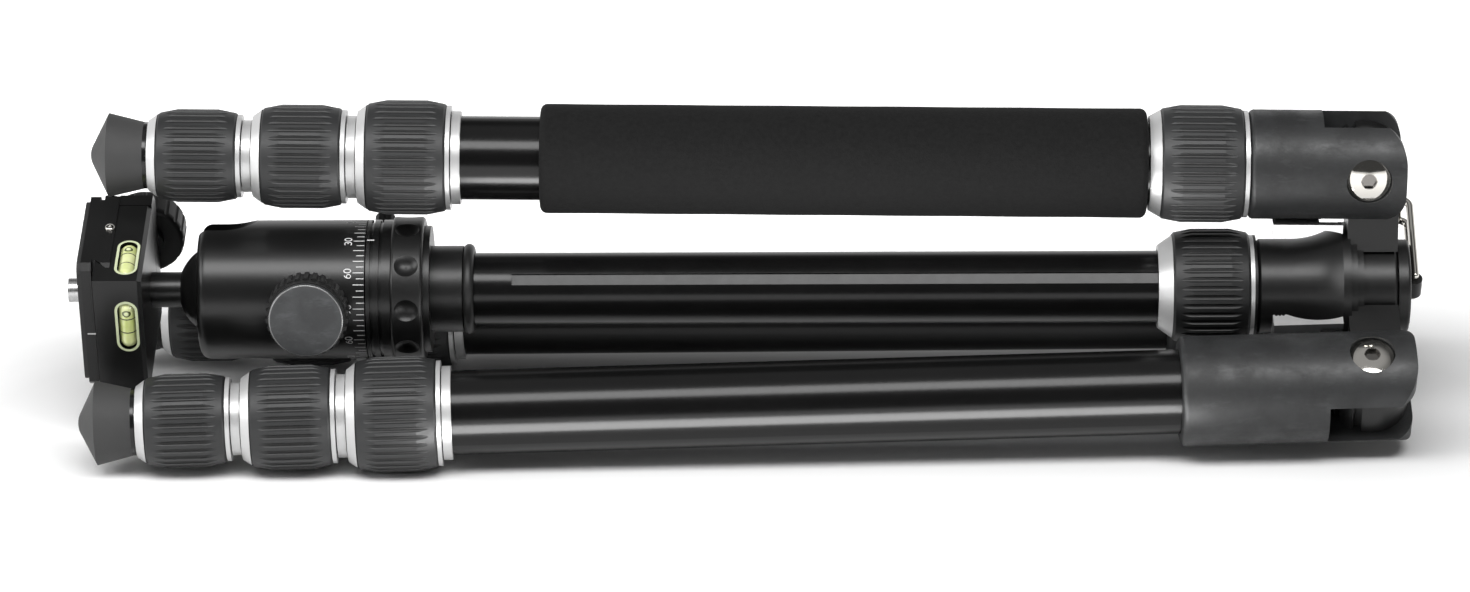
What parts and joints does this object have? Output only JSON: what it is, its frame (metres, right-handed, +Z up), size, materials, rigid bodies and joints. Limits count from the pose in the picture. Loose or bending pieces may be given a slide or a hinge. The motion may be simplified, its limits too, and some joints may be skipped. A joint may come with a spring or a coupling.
{
  "type": "travel tripod",
  "caption": "Folding travel tripod with ball head, quick-release plate, twist-lock legs, monopod leg and sliding centre column.",
  "frame": {"origin": "under the middle of the folded tripod, on the surface that it lies on", "axes": "+X along the centre column from the ball head to the leg hinges, +Z up, front leg on the -Y side"},
  "size_m": [0.3574, 0.1034, 0.0881],
  "materials": {
    "cast_black": "satin",
    "cast_grey": "satin",
    "chrome": "polished",
    "bright_aluminium": "bright turned",
    "anodised_black": "satin anodised",
    "lock_grip": "fluted rubber on bright nuts",
    "foot_rubber": "matt",
    "foam": "fine foam",
    "head_black": "satin anodised",
    "seal_rubber": "smooth",
    "knob_black": "satin",
    "seat_plastic": "smooth",
    "disc_grey": "brushed",
    "vial": "clear liquid",
    "pad_rubber": "matt",
    "steel": "turned",
    "black_plastic": "satin"
  },
  "bodies": {
    "spider": {"spider": "cast_black", "column_bush": "black_plastic", "pivot_bolts": "chrome"},
    "top_fork": {"top_fork": "cast_grey", "monopod_stud": "bright_aluminium"},
    "top_leg": {"top_tube_1": "anodised_black", "foam_grip": "foam"},
    "coupling": {"monopod_ring": "lock_grip"},
    "top_stop": {"top_stop_tab": "bright_aluminium"},
    "top_twist_1": {"top_lock_1": "lock_grip"},
    "top_section_2": {"top_tube_2": "anodised_black"},
    "top_twist_2": {"top_lock_2": "lock_grip"},
    "top_section_3": {"top_tube_3": "anodised_black"},
    "top_twist_3": {"top_lock_3": "lock_grip"},
    "top_section_4": {"top_tube_4": "anodised_black", "top_foot": "foot_rubber"},
    "front_leg": {"front_fork": "cast_grey", "front_tube_1": "anodised_black"},
    "front_stop": {"front_stop_tab": "bright_aluminium"},
    "front_twist_1": {"front_lock_1": "lock_grip"},
    "front_section_2": {"front_tube_2": "anodised_black"},
    "front_twist_2": {"front_lock_2": "lock_grip"},
    "front_section_3": {"front_tube_3": "anodised_black"},
    "front_twist_3": {"front_lock_3": "lock_grip"},
    "front_section_4": {"front_tube_4": "anodised_black", "front_foot": "foot_rubber"},
    "rear_leg": {"rear_fork": "cast_grey", "rear_tube_1": "anodised_black"},
    "rear_stop": {"rear_stop_tab": "bright_aluminium"},
    "rear_twist_1": {"rear_lock_1": "lock_grip"},
    "rear_section_2": {"rear_tube_2": "anodised_black"},
    "rear_twist_2": {"rear_lock_2": "lock_grip"},
    "rear_section_3": {"rear_tube_3": "anodised_black"},
    "rear_twist_3": {"rear_lock_3": "lock_grip"},
    "rear_section_4": {"rear_tube_4": "anodised_black", "rear_foot": "foot_rubber"},
    "column": {"column_tube": "anodised_black", "column_cap": "black_plastic", "head_base": "head_black", "o_ring": "seal_rubber", "pan_base": "head_black"},
    "column_lock": {"column_lock": "lock_grip"},
    "hook": {"bag_hook": "chrome"},
    "pan_lock": {"pan_knob": "knob_black"},
    "head": {"ball_housing": "head_black", "ball_seat": "seat_plastic"},
    "ball_lock": {"ball_knob": "knob_black", "knob_disc": "disc_grey"},
    "ball": {"ball_stem": "head_black"},
    "clamp": {"clamp_base": "head_black", "bubble_vials": "vial"},
    "clamp_jaw": {"clamp_jaw": "head_black"},
    "clamp_knob": {"clamp_knob": "knob_black"},
    "plate": {"quick_plate": "head_black", "plate_pad": "pad_rubber"},
    "camera_screw": {"camera_screw": "steel"}
  },
  "joints": [
    {"name": "top_leg_hinge", "type": "hinge", "parent": "spider", "child": "top_fork", "pos_m": [0.1628, 0, 0.0699], "axis": [0, 1, 0], "range_deg": [0, 178]},
    {"name": "top_stop_slide", "type": "slide", "parent": "top_fork", "child": "top_stop", "axis": [-0.9999, 0, 0.0122], "range_m": [0, 0.005], "stiffness_N_per_m": 400},
    {"name": "monopod_leg_slide", "type": "slide", "parent": "top_fork", "child": "top_leg", "axis": [-0.9999, 0, 0.0122], "range_m": [0, 0.025]},
    {"name": "monopod_ring_turn", "type": "hinge", "parent": "top_leg", "child": "coupling", "pos_m": [0.1628, 0, 0.0699], "axis": [-0.9999, 0, 0.0122], "range_deg": [0, 90]},
    {"name": "top_lock_1_turn", "type": "hinge", "parent": "top_leg", "child": "top_twist_1", "pos_m": [0.1628, 0, 0.0699], "axis": [-0.9999, 0, 0.0122], "range_deg": [0, 90]},
    {"name": "top_section_2_slide", "type": "slide", "parent": "top_leg", "child": "top_section_2", "axis": [-0.9999, 0, 0.0122], "range_m": [0, 0.19]},
    {"name": "top_lock_2_turn", "type": "hinge", "parent": "top_section_2", "child": "top_twist_2", "pos_m": [0.1628, 0, 0.0699], "axis": [-0.9999, 0, 0.0122], "range_deg": [0, 90]},
    {"name": "top_section_3_slide", "type": "slide", "parent": "top_section_2", "child": "top_section_3", "axis": [-0.9999, 0, 0.0122], "range_m": [0, 0.19]},
    {"name": "top_lock_3_turn", "type": "hinge", "parent": "top_section_3", "child": "top_twist_3", "pos_m": [0.1628, 0, 0.0699], "axis": [-0.9999, 0, 0.0122], "range_deg": [0, 90]},
    {"name": "top_section_4_slide", "type": "slide", "parent": "top_section_3", "child": "top_section_4", "axis": [-0.9999, 0, 0.0122], "range_m": [0, 0.19]},
    {"name": "front_leg_hinge", "type": "hinge", "parent": "spider", "child": "front_leg", "pos_m": [0.1628, -0.02927, 0.0192], "axis": [0, -0.5, 0.866], "range_deg": [0, 178]},
    {"name": "front_stop_slide", "type": "slide", "parent": "front_leg", "child": "front_stop", "axis": [-0.9995, -0.0287, -0.0166], "range_m": [0, 0.005], "stiffness_N_per_m": 400},
    {"name": "front_lock_1_turn", "type": "hinge", "parent": "front_leg", "child": "front_twist_1", "pos_m": [0.1628, -0.02927, 0.0192], "axis": [-0.9995, -0.0287, -0.0166], "range_deg": [0, 90]},
    {"name": "front_section_2_slide", "type": "slide", "parent": "front_leg", "child": "front_section_2", "axis": [-0.9995, -0.0287, -0.0166], "range_m": [0, 0.19]},
    {"name": "front_lock_2_turn", "type": "hinge", "parent": "front_section_2", "child": "front_twist_2", "pos_m": [0.1628, -0.02927, 0.0192], "axis": [-0.9995, -0.0287, -0.0166], "range_deg": [0, 90]},
    {"name": "front_section_3_slide", "type": "slide", "parent": "front_section_2", "child": "front_section_3", "axis": [-0.9995, -0.0287, -0.0166], "range_m": [0, 0.19]},
    {"name": "front_lock_3_turn", "type": "hinge", "parent": "front_section_3", "child": "front_twist_3", "pos_m": [0.1628, -0.02927, 0.0192], "axis": [-0.9995, -0.0287, -0.0166], "range_deg": [0, 90]},
    {"name": "front_section_4_slide", "type": "slide", "parent": "front_section_3", "child": "front_section_4", "axis": [-0.9995, -0.0287, -0.0166], "range_m": [0, 0.19]},
    {"name": "rear_leg_hinge", "type": "hinge", "parent": "spider", "child": "rear_leg", "pos_m": [0.1628, 0.02927, 0.0192], "axis": [0, -0.5, -0.866], "range_deg": [0, 178]},
    {"name": "rear_stop_slide", "type": "slide", "parent": "rear_leg", "child": "rear_stop", "axis": [-0.9995, 0.0287, -0.0166], "range_m": [0, 0.005], "stiffness_N_per_m": 400},
    {"name": "rear_lock_1_turn", "type": "hinge", "parent": "rear_leg", "child": "rear_twist_1", "pos_m": [0.1628, 0.02927, 0.0192], "axis": [-0.9995, 0.0287, -0.0166], "range_deg": [0, 90]},
    {"name": "rear_section_2_slide", "type": "slide", "parent": "rear_leg", "child": "rear_section_2", "axis": [-0.9995, 0.0287, -0.0166], "range_m": [0, 0.19]},
    {"name": "rear_lock_2_turn", "type": "hinge", "parent": "rear_section_2", "child": "rear_twist_2", "pos_m": [0.1628, 0.02927, 0.0192], "axis": [-0.9995, 0.0287, -0.0166], "range_deg": [0, 90]},
    {"name": "rear_section_3_slide", "type": "slide", "parent": "rear_section_2", "child": "rear_section_3", "axis": [-0.9995, 0.0287, -0.0166], "range_m": [0, 0.19]},
    {"name": "rear_lock_3_turn", "type": "hinge", "parent": "rear_section_3", "child": "rear_twist_3", "pos_m": [0.1628, 0.02927, 0.0192], "axis": [-0.9995, 0.0287, -0.0166], "range_deg": [0, 90]},
    {"name": "rear_section_4_slide", "type": "slide", "parent": "rear_section_3", "child": "rear_section_4", "axis": [-0.9995, 0.0287, -0.0166], "range_m": [0, 0.19]},
    {"name": "column_slide", "type": "slide", "parent": "spider", "child": "column", "axis": [1, 0, 0], "range_m": [0, 0.17]},
    {"name": "column_lock_turn", "type": "hinge", "parent": "spider", "child": "column_lock", "pos_m": [0.1249, 0, 0.0361], "axis": [-1, 0, 0], "range_deg": [0, 90]},
    {"name": "bag_hook_hinge", "type": "hinge", "parent": "column", "child": "hook", "pos_m": [0.1767, 0, 0.0361], "axis": [0, 0.5, -0.866], "range_deg": [0, 90]},
    {"name": "pan_knob_turn", "type": "hinge", "parent": "column", "child": "pan_lock", "pos_m": [-0.0959, 0, 0.0361], "axis": [0, 0.866, 0.5], "range_deg": [0, 180]},
    {"name": "pan", "type": "hinge", "parent": "column", "child": "head", "pos_m": [-0.1372, 0, 0.0361], "axis": [-1, 0, 0], "range_deg": [0, 12]},
    {"name": "ball_knob_turn", "type": "hinge", "parent": "head", "child": "ball_lock", "pos_m": [-0.1139, 0, 0.0361], "axis": [0, -0.9976, 0.0698], "range_deg": [0, 180]},
    {"name": "ball_tilt", "type": "hinge", "parent": "head", "child": "ball", "pos_m": [-0.1372, 0, 0.0361], "axis": [0, -0.9703, 0.2419], "range_deg": [-4, 35]},
    {"name": "clamp_spin", "type": "hinge", "parent": "ball", "child": "clamp", "pos_m": [-0.1372, 0, 0.0361], "axis": [1, 0, 0], "range_deg": [0, 18]},
    {"name": "jaw_slide", "type": "slide", "parent": "clamp", "child": "clamp_jaw", "axis": [0, 0.9703, 0.2419], "range_m": [0, 0.003]},
    {"name": "clamp_knob_turn", "type": "hinge", "parent": "clamp_jaw", "child": "clamp_knob", "pos_m": [-0.16057, 0, 0.0361], "axis": [0, 0.9703, 0.2419], "range_deg": [0, 720]},
    {"name": "plate_slide", "type": "slide", "parent": "clamp", "child": "plate", "axis": [0, 0.2419, -0.9703], "range_m": [0, 0.04]},
    {"name": "camera_screw_turn", "type": "hinge", "parent": "plate", "child": "camera_screw", "pos_m": [-0.1742, 0, 0.0361], "axis": [-1, 0, 0], "continuous": true}
  ],
  "couplings": [
    {"joint": "clamp_knob_turn", "follows": "jaw_slide", "rad_per_m": 4188.7}
  ]
}
